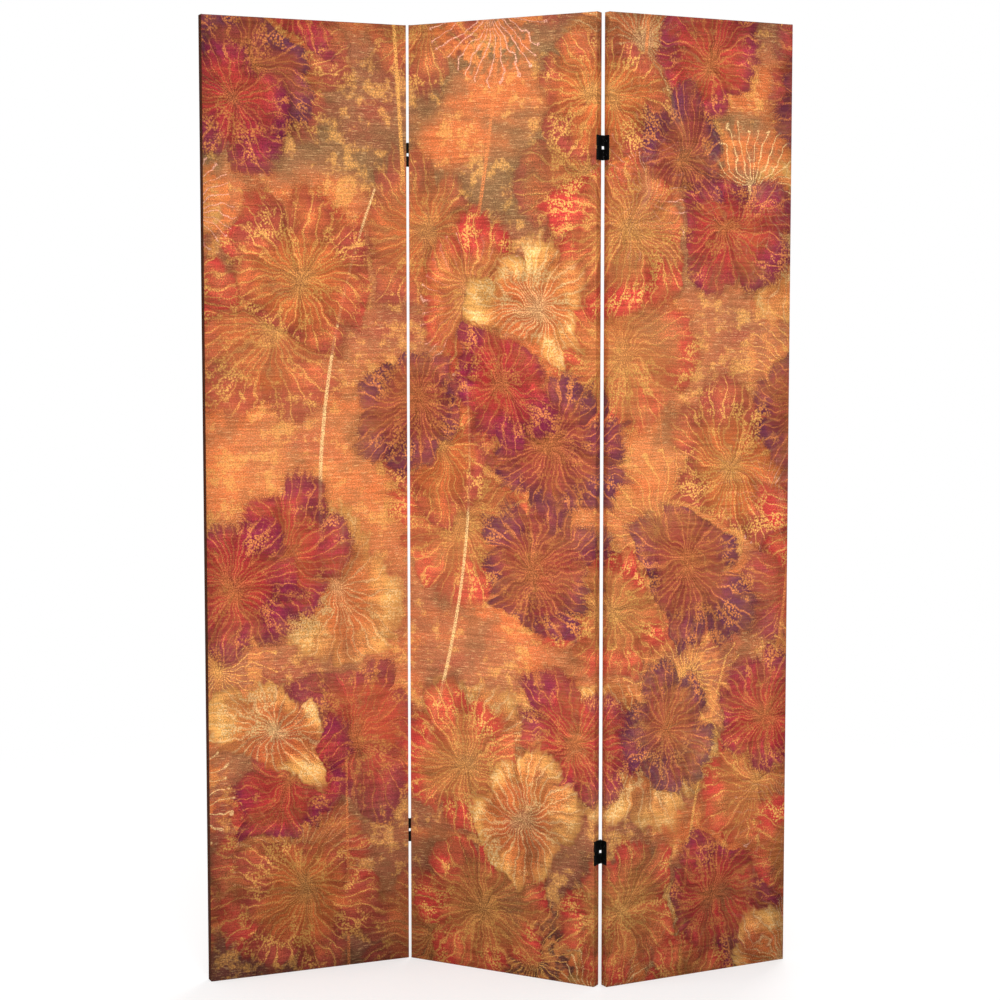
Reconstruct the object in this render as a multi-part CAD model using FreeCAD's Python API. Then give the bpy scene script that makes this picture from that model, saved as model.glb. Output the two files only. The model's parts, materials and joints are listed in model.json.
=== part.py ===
import FreeCAD, Part
import math
import os

# Canvas room divider: three stretched-canvas panels on double-action hinges.
# Millimetres. The origin is on the floor under the centre of the middle panel,
# +X runs along that panel's width, its front faces -Y and +Z is up.

# Panel
panel_width = 400.0
panel_height = 1800.0
frame_depth = 18.0
canvas_thickness = 0.5
wood_edge_radius = 1.5

# Standing pose
left_fold = 53.0
right_fold = 57.0

# Stretcher frame
stile_width = 38.0
end_rail_width = 38.0
cross_rail_width = 30.0
dowel_diameter = 8.0
dowel_length = 40.0
dowel_pitch = 16.0
dowel_chamfer = 0.8
glue_clearance = 0.05
dowel_end_room = 0.5

# Canvas flaps, lining and back cover
flap_width = 22.0
lining_thickness = 0.4
lining_gap = 1.0
back_canvas_inset = 3.0
hem_width = 9.0

# Staples
staple_crown = 10.0
staple_leg = 6.0
staple_wire = 0.45
staple_clearance = 0.05
staple_hem_gap = 1.0
staple_spacing = 110.0
staple_corner_room = 55.0

# Hinges
seam_gap = 4.0
hinge_height = 45.0
hinge_window = 6.0
window_depth = 6.5
hinge_from_bottom = 254.0
hinge_from_top = 243.0
leaf_thickness = 0.9
leaf_corner_radius = 1.2
barrel_proud = 1.0
barrel_clearance = 0.3
centre_leaf_clearance = 0.6
knuckle_gap = 0.2
pin_running_clearance = 0.05
pin_press_clearance = 0.02
pin_head = 0.4

# Hinge screws
screw_length = 18.0
screw_radius = 1.4
screw_head_radius = 2.3
screw_point = 3.0
screw_tip_radius = 0.2
screw_clearance = 0.05
screw_end_inset = 9.5
driver_slot_width = 0.8
driver_slot_length = 2.6
driver_slot_depth = 0.6

# Depths through a panel, from the front face to the back face
hem_thickness = max(canvas_thickness, staple_wire + staple_clearance)
panel_thickness = frame_depth + 3 * canvas_thickness + hem_thickness
front_face = -panel_thickness / 2
frame_front = front_face + canvas_thickness
frame_back = frame_front + frame_depth
flap_back = frame_back + canvas_thickness
back_canvas_front = flap_back + hem_thickness
back_face = back_canvas_front + canvas_thickness

# Frame size inside the canvas
half_width = panel_width / 2
frame_half_width = half_width - canvas_thickness
frame_bottom = canvas_thickness
frame_top = panel_height - canvas_thickness
frame_middle = (frame_front + frame_back) / 2
stile_inner = frame_half_width - stile_width

# Hinge places and sizes that follow from the gap
panel_pitch = panel_width + seam_gap
seam_x = panel_pitch / 2
axis_y = panel_thickness / 2 + barrel_proud
barrel_radius = seam_gap / 2
pin_radius = barrel_radius - leaf_thickness - pin_running_clearance
centre_leaf_thickness = seam_gap - 2 * (leaf_thickness + centre_leaf_clearance)
leaf_face = seam_gap / 2 - leaf_thickness
barrel_room = barrel_radius + barrel_clearance
leaf_reach = axis_y - math.sqrt(barrel_room ** 2 - leaf_face ** 2)
half_height = (hinge_height - hinge_window) / 2
knuckle_length = (half_height - 2 * knuckle_gap) / 3
hinge_heights = {
    "upper": panel_height - hinge_from_top,
    "lower": hinge_from_bottom,
}

X_AXIS = FreeCAD.Vector(1, 0, 0)
Y_AXIS = FreeCAD.Vector(0, 1, 0)
Z_AXIS = FreeCAD.Vector(0, 0, 1)
CENTRE = FreeCAD.Vector(0, 0, 0)
SIDES = (-1, 1)


def block(x_range, y_range, z_range):
    """A box between two limits on each axis."""
    sizes = [high - low for low, high in (x_range, y_range, z_range)]
    corner = FreeCAD.Vector(x_range[0], y_range[0], z_range[0])
    return Part.makeBox(*sizes, corner)


def mirrored_range(low, high, side):
    """The same stretch of an axis on the chosen side of zero."""
    return tuple(sorted((side * low, side * high)))


def moved(shape, x=0.0, y=0.0, z=0.0):
    """A copy of a shape, shifted."""
    copy = shape.copy()
    copy.translate(FreeCAD.Vector(x, y, z))
    return copy


def turned(shape, angle, centre=CENTRE, axis=Z_AXIS):
    """A copy of a shape, turned about an axis through a point."""
    copy = shape.copy()
    copy.rotate(centre, axis, angle)
    return copy


def rounded_block(x_range, y_range, z_range, radius):
    """A box with every edge rounded."""
    body = block(x_range, y_range, z_range)
    return body.makeFillet(radius, body.Edges)


# Stretcher frame

def frame_envelope():
    """The outside of the whole frame, edges eased so that the canvas isn't cut."""
    return rounded_block(
        (-frame_half_width, frame_half_width),
        (frame_front, frame_back),
        (frame_bottom, frame_top),
        wood_edge_radius,
    )


def rail_levels():
    """Bottom and top of each rail, by name, the two cross rails evenly spaced."""
    first = frame_bottom + end_rail_width
    last = frame_top - end_rail_width
    clear = (last - first - 2 * cross_rail_width) / 3
    lower = first + clear
    upper = lower + cross_rail_width + clear
    return {
        "bottom_rail": (frame_bottom, first),
        "lower_cross_rail": (lower, lower + cross_rail_width),
        "upper_cross_rail": (upper, upper + cross_rail_width),
        "top_rail": (last, frame_top),
    }


def dowel_places():
    """Centre of every dowel: two at each end of each rail."""
    places = []
    for low, high in rail_levels().values():
        middle = (low + high) / 2
        for side in SIDES:
            for step in SIDES:
                places.append((side * stile_inner, middle + step * dowel_pitch / 2))
    return places


def dowel(radius, length, chamfer):
    """A round peg along X, centred on the origin, with eased ends."""
    straight = length - 2 * chamfer
    start = FreeCAD.Vector(-straight / 2, 0, 0)
    peg = Part.makeCylinder(radius, straight, start, X_AXIS)
    for side in SIDES:
        end = FreeCAD.Vector(side * straight / 2, 0, 0)
        tip = Part.makeCone(radius, radius - chamfer, chamfer, end, X_AXIS * side)
        peg = peg.fuse(tip)
    return peg.removeSplitter()


def dowel_bores():
    """The holes that the dowels are glued in."""
    radius = dowel_diameter / 2 + glue_clearance
    length = dowel_length + 2 * dowel_end_room
    bores = []
    for x, z in dowel_places():
        start = FreeCAD.Vector(x - length / 2, frame_middle, z)
        bores.append(Part.makeCylinder(radius, length, start, X_AXIS))
    return Part.makeCompound(bores)


def dowel_group():
    """All dowels of one frame."""
    peg = dowel(dowel_diameter / 2, dowel_length, dowel_chamfer)
    return Part.makeCompound([moved(peg, x, frame_middle, z) for x, z in dowel_places()])


# Staples

def staple_rows(first, last):
    """Evenly spaced places between two ends, about one spacing apart."""
    count = max(2, round((last - first) / staple_spacing) + 1)
    step = (last - first) / (count - 1)
    return [first + step * index for index in range(count)]


def staple(clearance):
    """A staple with its crown along X on the flap and its legs in the wood behind it."""
    reach = staple_crown / 2 + clearance
    thick = staple_wire / 2 + clearance
    leg_end = flap_back - staple_leg - clearance
    crown = block((-reach, reach), (flap_back, flap_back + staple_wire), (-thick, thick))
    for side in SIDES:
        inner = staple_crown / 2 - staple_wire - clearance
        leg = block(mirrored_range(inner, reach, side), (leg_end, flap_back), (-thick, thick))
        crown = crown.fuse(leg)
    return crown.removeSplitter()


def staple_group(clearance):
    """All staples of one panel, just inside the back cover's hem and clear of the dowels."""
    along_rail = staple(clearance)
    along_stile = turned(along_rail, 90, axis=Y_AXIS)
    inset = back_canvas_inset + hem_width + staple_hem_gap
    rail_end = stile_inner - dowel_length / 2 - dowel_end_room - staple_crown
    group = []
    for x in staple_rows(-rail_end, rail_end):
        group.append(moved(along_rail, x, 0, inset))
        group.append(moved(along_rail, x, 0, panel_height - inset))
    for z in staple_rows(staple_corner_room, panel_height - staple_corner_room):
        for side in SIDES:
            group.append(moved(along_stile, side * (half_width - inset), 0, z))
    return Part.makeCompound(group)


# Canvas and lining

def front_canvas():
    """Printed canvas over the front and all four edges, with flaps turned onto the back."""
    outside = rounded_block(
        (-half_width, half_width),
        (front_face, flap_back),
        (0.0, panel_height),
        wood_edge_radius + canvas_thickness,
    )
    between_flaps = block(
        (-half_width + flap_width, half_width - flap_width),
        (frame_middle, back_face),
        (flap_width, panel_height - flap_width),
    )
    return outside.cut(frame_envelope()).cut(between_flaps)


def back_canvas():
    """Cover over the back, its edge turned under once into a hem."""
    reach = half_width - back_canvas_inset
    low = back_canvas_inset
    high = panel_height - back_canvas_inset
    cover = block((-reach, reach), (back_canvas_front, back_face), (low, high))
    hem = block((-reach, reach), (flap_back, back_canvas_front), (low, high))
    inside = block(
        (-reach + hem_width, reach - hem_width),
        (flap_back, back_canvas_front),
        (low + hem_width, high - hem_width),
    )
    return cover.fuse(hem.cut(inside)).removeSplitter()


def lining():
    """Opaque sheet on the frame's back, between the flaps."""
    inset = flap_width + lining_gap
    return block(
        (-half_width + inset, half_width - inset),
        (frame_back, frame_back + lining_thickness),
        (inset, panel_height - inset),
    )


# Hinge screws

def screw_body(clearance):
    """A countersunk screw driven along -X, its head flush with the leaf on the seam's left side."""
    radius = screw_radius + clearance
    head_radius = screw_head_radius + clearance
    head = head_radius - radius
    shank = screw_length - head - screw_point
    inward = X_AXIS * -1
    face = FreeCAD.Vector(-leaf_face, 0, 0)
    neck = face + inward * head
    point = neck + inward * shank
    body = Part.makeCone(head_radius, radius, head, face, inward)
    body = body.fuse(Part.makeCylinder(radius, shank, neck, inward))
    tip_radius = screw_tip_radius + clearance
    body = body.fuse(Part.makeCone(radius, tip_radius, screw_point + clearance, point, inward))
    return body.removeSplitter()


def screw():
    """One screw with a cross slot in its head."""
    body = screw_body(0.0)
    floor = -leaf_face - driver_slot_depth
    slot = block(
        (floor, -leaf_face),
        (-driver_slot_length / 2, driver_slot_length / 2),
        (-driver_slot_width / 2, driver_slot_width / 2),
    )
    return body.cut(slot).cut(turned(slot, 90, axis=X_AXIS))


def screw_levels():
    """Heights of a leaf's screws, from the middle of the hinge."""
    return [side * (hinge_height / 2 - screw_end_inset) for side in SIDES]


def screw_pair(body):
    """A leaf's screws, or the holes for them."""
    return Part.makeCompound([moved(body, z=level) for level in screw_levels()])


# Hinge leaves and pins

def knuckle_levels():
    """Bottom of each knuckle of one half, from the bottom of that half."""
    return [index * (knuckle_length + knuckle_gap) for index in range(3)]


def half_bottoms():
    """Bottom of the lower and the upper half, from the middle of the hinge."""
    return (-hinge_height / 2, hinge_window / 2)


def barrel(side, low, radius, length):
    """A cylinder about the front (-1) or the back (1) axis."""
    return Part.makeCylinder(radius, length, FreeCAD.Vector(0, side * axis_y, low), Z_AXIS)


def side_leaf():
    """Leaf for the panel on the seam's left: a plate on its edge and two knuckles on the front axis."""
    plate = block(
        (-seam_gap / 2, -leaf_face),
        (-leaf_reach, leaf_reach),
        (-hinge_height / 2, hinge_height / 2),
    )
    corners = [edge for edge in plate.Edges if edge.BoundBox.XLength > leaf_thickness / 2]
    leaf = plate.makeFillet(leaf_corner_radius, corners)
    middle_knuckle = knuckle_levels()[1]
    for half in half_bottoms():
        low = half + middle_knuckle
        neck = block(
            (-seam_gap / 2, -leaf_face), (-axis_y, -leaf_reach), (low, low + knuckle_length)
        )
        leaf = leaf.fuse(neck).fuse(barrel(-1, low, barrel_radius, knuckle_length))
        leaf = leaf.cut(barrel(-1, low, pin_radius + pin_running_clearance, knuckle_length))
    return leaf.removeSplitter().cut(screw_pair(screw_body(screw_clearance)))


def centre_leaf():
    """Leaf between the side leaves: four knuckles on each axis, and a window at each side."""
    leaf = block(
        (-centre_leaf_thickness / 2, centre_leaf_thickness / 2),
        (-axis_y, axis_y),
        (-hinge_height / 2, hinge_height / 2),
    )
    first, middle, last = knuckle_levels()
    for side in SIDES:
        reach = mirrored_range(axis_y - window_depth, axis_y + barrel_room, side)
        window = block(
            (-barrel_room, barrel_room), reach, (-hinge_window / 2, hinge_window / 2)
        )
        leaf = leaf.cut(window)
        for half in half_bottoms():
            room_low = half + middle - knuckle_gap
            room = barrel(side, room_low, barrel_room, knuckle_length + 2 * knuckle_gap)
            leaf = leaf.cut(room)
            for low in (half + first, half + last):
                leaf = leaf.fuse(barrel(side, low, barrel_radius, knuckle_length))
            leaf = leaf.cut(barrel(side, half, pin_radius + pin_press_clearance, half_height))
    return leaf.removeSplitter()


def pin_group():
    """A headed pin through each half of both barrels."""
    pins = []
    for side in SIDES:
        for half in half_bottoms():
            pin = barrel(side, half, pin_radius, half_height)
            top = FreeCAD.Vector(0, side * axis_y, half + half_height)
            head = Part.makeCone(barrel_radius, pin_radius, pin_head, top, Z_AXIS)
            pins.append(pin.fuse(head).removeSplitter())
    return Part.makeCompound(pins)


# Assembly

def panel_pieces(hinged_sides):
    """Every piece of one panel at the middle panel's place, holed on the sides that carry hinges."""
    holes = []
    for side in hinged_sides:
        pair = moved(screw_pair(screw_body(screw_clearance)), seam_x)
        if side < 0:
            pair = turned(pair, 180)
        for level in hinge_heights.values():
            holes.append(moved(pair, z=level))
    screw_holes = Part.makeCompound(holes)
    staple_slots = staple_group(staple_clearance)
    bores = dowel_bores()
    envelope = frame_envelope()
    pieces = {}
    for name, side in (("left_stile", -1), ("right_stile", 1)):
        limits = mirrored_range(stile_inner, frame_half_width, side)
        stile = block(limits, (frame_front, frame_back), (frame_bottom, frame_top))
        pieces[name] = stile.common(envelope).cut(bores).cut(screw_holes).cut(staple_slots)
    for name, levels in rail_levels().items():
        rail = block((-stile_inner, stile_inner), (frame_front, frame_back), levels)
        pieces[name] = rail.common(envelope).cut(bores).cut(staple_slots)
    pieces["dowels"] = dowel_group()
    pieces["lining"] = lining()
    pieces["front_canvas"] = front_canvas().cut(screw_holes).cut(staple_slots)
    pieces["back_canvas"] = back_canvas()
    pieces["staples"] = staple_group(0.0)
    return pieces


def fold_left(shape):
    """Carry a shape from the left panel's flat place to its folded one."""
    return turned(shape, left_fold, FreeCAD.Vector(-seam_x, -axis_y, 0))


def fold_right(shape):
    """Carry a shape from the right panel's flat place to its folded one."""
    return turned(shape, right_fold, FreeCAD.Vector(seam_x, axis_y, 0))


def stay(shape):
    """Leave a shape of the middle panel where it is."""
    return shape


def hinge_pieces(seam, carry_left, carry_right):
    """Every piece of one seam's hinges, each carried with the panel that it is fixed to."""
    left_leaf = side_leaf()
    left_screws = screw_pair(screw())
    link = centre_leaf()
    pins = pin_group()
    left_side, right_side = ("outer", "inner") if seam < 0 else ("inner", "outer")
    pieces = {}
    for level_name, level in hinge_heights.items():
        stem = f"{'left' if seam < 0 else 'right'}_{level_name}_hinge"
        place = {"x": seam * seam_x, "z": level}
        pieces[f"{stem}_{left_side}_leaf"] = carry_left(moved(left_leaf, **place))
        pieces[f"{stem}_{left_side}_screws"] = carry_left(moved(left_screws, **place))
        pieces[f"{stem}_{right_side}_leaf"] = carry_right(moved(turned(left_leaf, 180), **place))
        pieces[f"{stem}_{right_side}_screws"] = carry_right(moved(turned(left_screws, 180), **place))
        pieces[f"{stem}_centre_leaf"] = moved(link, **place)
        pieces[f"{stem}_pins"] = moved(pins, **place)
    return pieces


def assembly():
    """Every node of the screen, by name, in its standing pose."""
    nodes = {}
    panels = (
        ("left", (1,), -panel_pitch, fold_left),
        ("middle", (-1, 1), 0.0, stay),
        ("right", (-1,), panel_pitch, fold_right),
    )
    for name, hinged_sides, x, carry in panels:
        for piece, shape in panel_pieces(hinged_sides).items():
            nodes[f"{name}_panel_{piece}"] = carry(moved(shape, x))
    nodes.update(hinge_pieces(-1, fold_left, stay))
    nodes.update(hinge_pieces(1, stay, fold_right))
    return nodes


os.makedirs("parts", exist_ok=True)
for node, shape in assembly().items():
    solids = shape.Solids
    volume = sum(solid.Volume for solid in solids)
    print(f"{node}: {len(solids)} solids, {volume:.1f} mm3, valid {shape.isValid()}")
    shape.exportStep(f"parts/{node}.step")
print(f"panel thickness {panel_thickness:.2f}, pin radius {pin_radius:.2f}, leaf reach {leaf_reach:.2f}")
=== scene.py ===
"""Looks of a three-panel canvas room divider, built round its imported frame.

Metres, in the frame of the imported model: the middle panel stands over the origin,
its front faces -Y and +Z is up. The print is drawn in the flat coordinates of the
whole screen, u to the right from the middle panel's centre and v up from the floor.
"""
import json
import logging
import math
from abc import ABC, abstractmethod
from dataclasses import dataclass, replace
from enum import Enum, IntEnum
from typing import Callable, ClassVar, Union

import bmesh
import bpy
from mathutils import Matrix, Vector

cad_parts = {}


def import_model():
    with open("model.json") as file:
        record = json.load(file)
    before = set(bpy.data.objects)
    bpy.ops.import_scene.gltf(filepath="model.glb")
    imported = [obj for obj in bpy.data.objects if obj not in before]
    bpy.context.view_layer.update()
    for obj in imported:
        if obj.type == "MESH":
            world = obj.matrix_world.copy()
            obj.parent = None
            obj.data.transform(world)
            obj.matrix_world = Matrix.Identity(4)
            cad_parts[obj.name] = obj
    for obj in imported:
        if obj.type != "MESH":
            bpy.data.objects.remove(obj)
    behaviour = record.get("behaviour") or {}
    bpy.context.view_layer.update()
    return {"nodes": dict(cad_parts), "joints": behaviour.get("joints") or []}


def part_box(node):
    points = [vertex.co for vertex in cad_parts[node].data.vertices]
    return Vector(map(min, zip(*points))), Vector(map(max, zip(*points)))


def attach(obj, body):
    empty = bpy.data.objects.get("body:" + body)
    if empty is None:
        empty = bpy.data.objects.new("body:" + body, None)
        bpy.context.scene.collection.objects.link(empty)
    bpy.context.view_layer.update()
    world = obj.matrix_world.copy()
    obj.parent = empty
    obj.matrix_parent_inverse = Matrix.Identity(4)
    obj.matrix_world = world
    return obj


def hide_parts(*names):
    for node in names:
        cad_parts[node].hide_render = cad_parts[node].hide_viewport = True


log = logging.getLogger("room_divider")

MM = 0.001
TURN = 2.0 * math.pi
PRINT_MAP = "print"
ON_CUT = 1e-6


class Palette(Enum):
    """Colours of the screen, as sRGB hex."""

    NIGHT = "070707"
    STEEL = "6E6C68"
    ZINC = "A9A9A6"
    CHARCOAL = "2A2927"
    UMBER = "3C1A0A"
    BARK = "6C4038"
    PLUM = "64324A"
    WINE = "822844"
    RUST = "A84A3E"
    SCARLET = "CC403C"
    CORAL = "E07C66"
    SALMON = "F0B096"
    FLAME = "E67842"
    AMBER = "DA824C"
    GOLD = "EFAE5E"
    STRAW = "F7CC8C"
    OCHRE = "B06A48"
    CLAY = "9C6044"
    OLIVE = "8A6644"
    PINE = "D3AE7C"
    PINE_LATE = "B07F4A"
    BEECH = "CFA678"
    BEECH_LATE = "B58A5C"
    WHITE = "FFFFFF"

    @property
    def linear(self) -> tuple[float, float, float, float]:
        """The colour as scene-linear RGBA, by the sRGB curve."""
        parts = [int(self.value[at:at + 2], 16) / 255 for at in (0, 2, 4)]
        lin = [c / 12.92 if c <= 0.04045 else ((c + 0.055) / 1.055) ** 2.4 for c in parts]
        return (lin[0], lin[1], lin[2], 1.0)


class Tone(Enum):
    """Colour schemes of a motif: heart, inner petal, outer petal and veins."""

    WINE = (Palette.UMBER, Palette.SCARLET, Palette.WINE, Palette.AMBER)
    PLUM = (Palette.UMBER, Palette.RUST, Palette.PLUM, Palette.AMBER)
    FLAME = (Palette.WINE, Palette.AMBER, Palette.SCARLET, Palette.GOLD)
    GOLD = (Palette.RUST, Palette.FLAME, Palette.GOLD, Palette.STRAW)
    RUST = (Palette.PLUM, Palette.FLAME, Palette.RUST, Palette.GOLD)
    CORAL = (Palette.WINE, Palette.FLAME, Palette.CORAL, Palette.SALMON)


class Role(IntEnum):
    """Places of the colours in a tone."""

    HEART = 0
    INNER = 1
    OUTER = 2
    VEIN = 3


@dataclass(frozen=True)
class Signal:
    """One value in a node tree, used in plain arithmetic.

    Attributes:
        graph: Graph that it belongs to.
        socket: Output that gives it.
    """

    graph: "Graph"
    socket: bpy.types.NodeSocket

    def __add__(self, other: "Number") -> "Signal":
        """Sum."""
        return self.graph.math("ADD", self, other)

    __radd__ = __add__

    def __mul__(self, other: "Number") -> "Signal":
        """Product."""
        return self.graph.math("MULTIPLY", self, other)

    __rmul__ = __mul__

    def __sub__(self, other: "Number") -> "Signal":
        """Difference."""
        return self.graph.math("SUBTRACT", self, other)

    def __rsub__(self, other: "Number") -> "Signal":
        """Difference from a number."""
        return self.graph.math("SUBTRACT", other, self)

    def __truediv__(self, other: "Number") -> "Signal":
        """Quotient."""
        return self.graph.math("DIVIDE", self, other)

    def __rtruediv__(self, other: "Number") -> "Signal":
        """Quotient of a number."""
        return self.graph.math("DIVIDE", other, self)

    def __abs__(self) -> "Signal":
        """Size without sign."""
        return self.graph.math("ABSOLUTE", self)

    def root(self) -> "Signal":
        """Square root."""
        return self.graph.math("SQRT", self)

    def sine(self) -> "Signal":
        """Sine."""
        return self.graph.math("SINE", self)

    def fraction(self) -> "Signal":
        """Part after the decimal point."""
        return self.graph.math("FRACT", self)

    def floor(self) -> "Signal":
        """Whole number below."""
        return self.graph.math("FLOOR", self)

    def fold(self) -> "Signal":
        """Distance to the nearest whole number."""
        return self.graph.math("PINGPONG", self, 0.5)

    def above(self, other: "Number") -> "Signal":
        """The larger of two values."""
        return self.graph.math("MAXIMUM", self, other)

    def smooth(self, start: float, end: float, low: float = 0.0, high: float = 1.0) -> "Signal":
        """Eased step from low at start to high at end, where end may be the smaller."""
        return self.graph.mapped("SMOOTHSTEP", self, start, end, low, high)

    def scaled(self, low: float, high: float) -> "Signal":
        """Straight line that is low at 0 and high at 1."""
        return self.graph.mapped("LINEAR", self, 0.0, 1.0, low, high)

    def swing(self, reach: float) -> "Signal":
        """Straight line from -reach at 0 to reach at 1."""
        return self.scaled(-reach, reach)


@dataclass(frozen=True)
class Noise:
    """A cloudy noise.

    Attributes:
        scale: Features per unit of the place that it reads.
        detail: Number of finer layers in it.
        rough: Strength of each finer layer.
        space: Blender's name of its dimensions.
    """

    scale: float
    detail: float
    rough: float = 0.5
    space: str = "3D"


Number = Union[float, Signal]
Paint = Union[Palette, Signal]
ColourRow = tuple[tuple[float, Palette], ...]

# Numbers that belong together, such as what Signal.smooth, Signal.scaled or Graph.relief takes.
Span = tuple[float, ...]


class Graph:
    """Adds nodes to one node tree, each after the nodes that it reads."""

    COLUMN: ClassVar[float] = 180.0
    MIX_UNDER: ClassVar[int] = 6
    MIX_OVER: ClassVar[int] = 7
    MIX_RESULT: ClassVar[int] = 2

    def __init__(self, tree: bpy.types.NodeTree) -> None:
        """Works on an empty tree."""
        self.tree = tree

    def add(self, kind: str, **settings: object) -> bpy.types.Node:
        """Adds a node.

        Args:
            kind: Blender's name of the node type.
            settings: Properties to set on it.

        Returns:
            The new node.
        """
        node = self.tree.nodes.new(kind)
        node.location.x = self.COLUMN * len(self.tree.nodes)
        for name, value in settings.items():
            setattr(node, name, value)
        return node

    def feed(self, socket: bpy.types.NodeSocket, value: Union[Number, Paint, Vector]) -> None:
        """Links a signal to a socket, or sets a value on it.

        Args:
            socket: The input.
            value: Signal to link, or number, colour or vector to set.
        """
        if isinstance(value, Signal):
            self.tree.links.new(value.socket, socket)
        elif isinstance(value, Palette):
            socket.default_value = value.linear
        else:
            socket.default_value = value

    def math(self, operation: str, *values: Number) -> Signal:
        """Adds a Math node.

        Args:
            operation: Blender's name of the operation.
            values: What it works on, in order.

        Returns:
            The result.
        """
        node = self.add("ShaderNodeMath", operation=operation)
        for socket, value in zip(node.inputs, values):
            self.feed(socket, value)
        return Signal(self, node.outputs[0])

    def mapped(self, curve: str, value: Signal, *ends: float) -> Signal:
        """Adds a Map Range node that takes one stretch of values to another.

        Args:
            curve: Blender's name of the way between the ends.
            value: The value to map.
            ends: Start and end of the first stretch, then of the second.

        Returns:
            The mapped value.
        """
        node = self.add("ShaderNodeMapRange", interpolation_type=curve, clamp=False)
        self.feed(node.inputs["Value"], value)
        for name, end in zip(("From Min", "From Max", "To Min", "To Max"), ends):
            node.inputs[name].default_value = end
        return Signal(self, node.outputs["Result"])

    def mix(self, factor: Number, under: Paint, over: Paint) -> Signal:
        """Lays one colour over another.

        Args:
            factor: How much of the upper colour shows, from 0 to 1.
            under: The lower colour.
            over: The upper colour.

        Returns:
            The mixed colour.
        """
        node = self.add("ShaderNodeMix", data_type="RGBA")
        self.feed(node.inputs[0], factor)
        self.feed(node.inputs[self.MIX_UNDER], under)
        self.feed(node.inputs[self.MIX_OVER], over)
        return Signal(self, node.outputs[self.MIX_RESULT])

    def dim(self, colour: Signal, factor: Signal) -> Signal:
        """Multiplies a colour by a number.

        Args:
            colour: The colour.
            factor: The number, which brightens above 1.

        Returns:
            The changed colour.
        """
        node = self.add("ShaderNodeVectorMath", operation="SCALE")
        self.feed(node.inputs["Vector"], colour)
        self.feed(node.inputs["Scale"], factor)
        return Signal(self, node.outputs["Vector"])

    def vector(self, x: Number, y: Number, z: Number) -> Signal:
        """Joins three numbers.

        Args:
            x: First number.
            y: Second number.
            z: Third number.

        Returns:
            The vector.
        """
        node = self.add("ShaderNodeCombineXYZ")
        for socket, value in zip(node.inputs, (x, y, z)):
            self.feed(socket, value)
        return Signal(self, node.outputs[0])

    def split(self, vector: Signal) -> tuple[Signal, Signal, Signal]:
        """Takes a vector or colour apart.

        Args:
            vector: The vector or colour.

        Returns:
            Its three numbers.
        """
        node = self.add("ShaderNodeSeparateXYZ")
        self.feed(node.inputs[0], vector)
        return tuple(Signal(self, output) for output in node.outputs)

    def noise(self, at: Signal, pattern: Noise) -> bpy.types.Node:
        """Adds a cloudy noise.

        Args:
            at: The place to read it at.
            pattern: Its scale, detail and roughness.

        Returns:
            The noise's node.
        """
        node = self.add("ShaderNodeTexNoise", noise_dimensions=pattern.space)
        self.feed(node.inputs["Vector"], at)
        node.inputs["Scale"].default_value = pattern.scale
        node.inputs["Detail"].default_value = pattern.detail
        node.inputs["Roughness"].default_value = pattern.rough
        return node

    def cloud(self, at: Signal, pattern: Noise) -> Signal:
        """A noise's grey value, about 0.5 on average."""
        return Signal(self, self.noise(at, pattern).outputs[0])

    def cells(self, at: Signal, scale: float, feature: str) -> Signal:
        """Measures a distance in a flat pattern of random cells.

        Args:
            at: The place to measure from.
            scale: Cells per metre.
            feature: Blender's name of what the distance runs to, a cell's point or its edge.

        Returns:
            The distance, in widths of a cell.
        """
        node = self.add("ShaderNodeTexVoronoi", voronoi_dimensions="2D", feature=feature)
        self.feed(node.inputs["Vector"], at)
        node.inputs["Scale"].default_value = scale
        return Signal(self, node.outputs["Distance"])

    def chance(self, first: Number, second: Number) -> Signal:
        """Draws a random number for each pair of numbers.

        Args:
            first: One of the pair.
            second: The other one.

        Returns:
            The draw, from 0 to 1.
        """
        node = self.add("ShaderNodeTexWhiteNoise", noise_dimensions="2D")
        self.feed(node.inputs["Vector"], self.vector(first, second, 0.0))
        return Signal(self, node.outputs["Value"])

    def ramp(self, factor: Signal, stops: ColourRow, blend: str = "LINEAR") -> Signal:
        """Runs through a row of colours.

        Args:
            factor: Place along the row.
            stops: Places from 0 to 1 with their colours, in order.
            blend: Blender's name of the way from one colour to the next.

        Returns:
            The colour at that place.
        """
        node = self.add("ShaderNodeValToRGB")
        node.color_ramp.interpolation = blend
        row = node.color_ramp.elements
        while len(row) < len(stops):
            row.new(1.0)
        for element, (place, colour) in zip(row, stops):
            element.position = place
            element.color = colour.linear
        self.feed(node.inputs[0], factor)
        return Signal(self, node.outputs[0])

    def place(self) -> Signal:
        """The point's place in the piece's own frame, in metres."""
        return Signal(self, self.add("ShaderNodeTexCoord").outputs["Object"])

    def relief(self, height: Signal, depth: float, strength: float) -> Signal:
        """Bends the normal by a height.

        Args:
            height: The height.
            depth: Real size of a step of 1 in it, in metres.
            strength: How much of the bend is used, from 0 to 1.

        Returns:
            The bent normal.
        """
        node = self.add("ShaderNodeBump")
        node.inputs["Distance"].default_value = depth
        node.inputs["Strength"].default_value = strength
        self.feed(node.inputs["Height"], height)
        return Signal(self, node.outputs[0])


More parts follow.
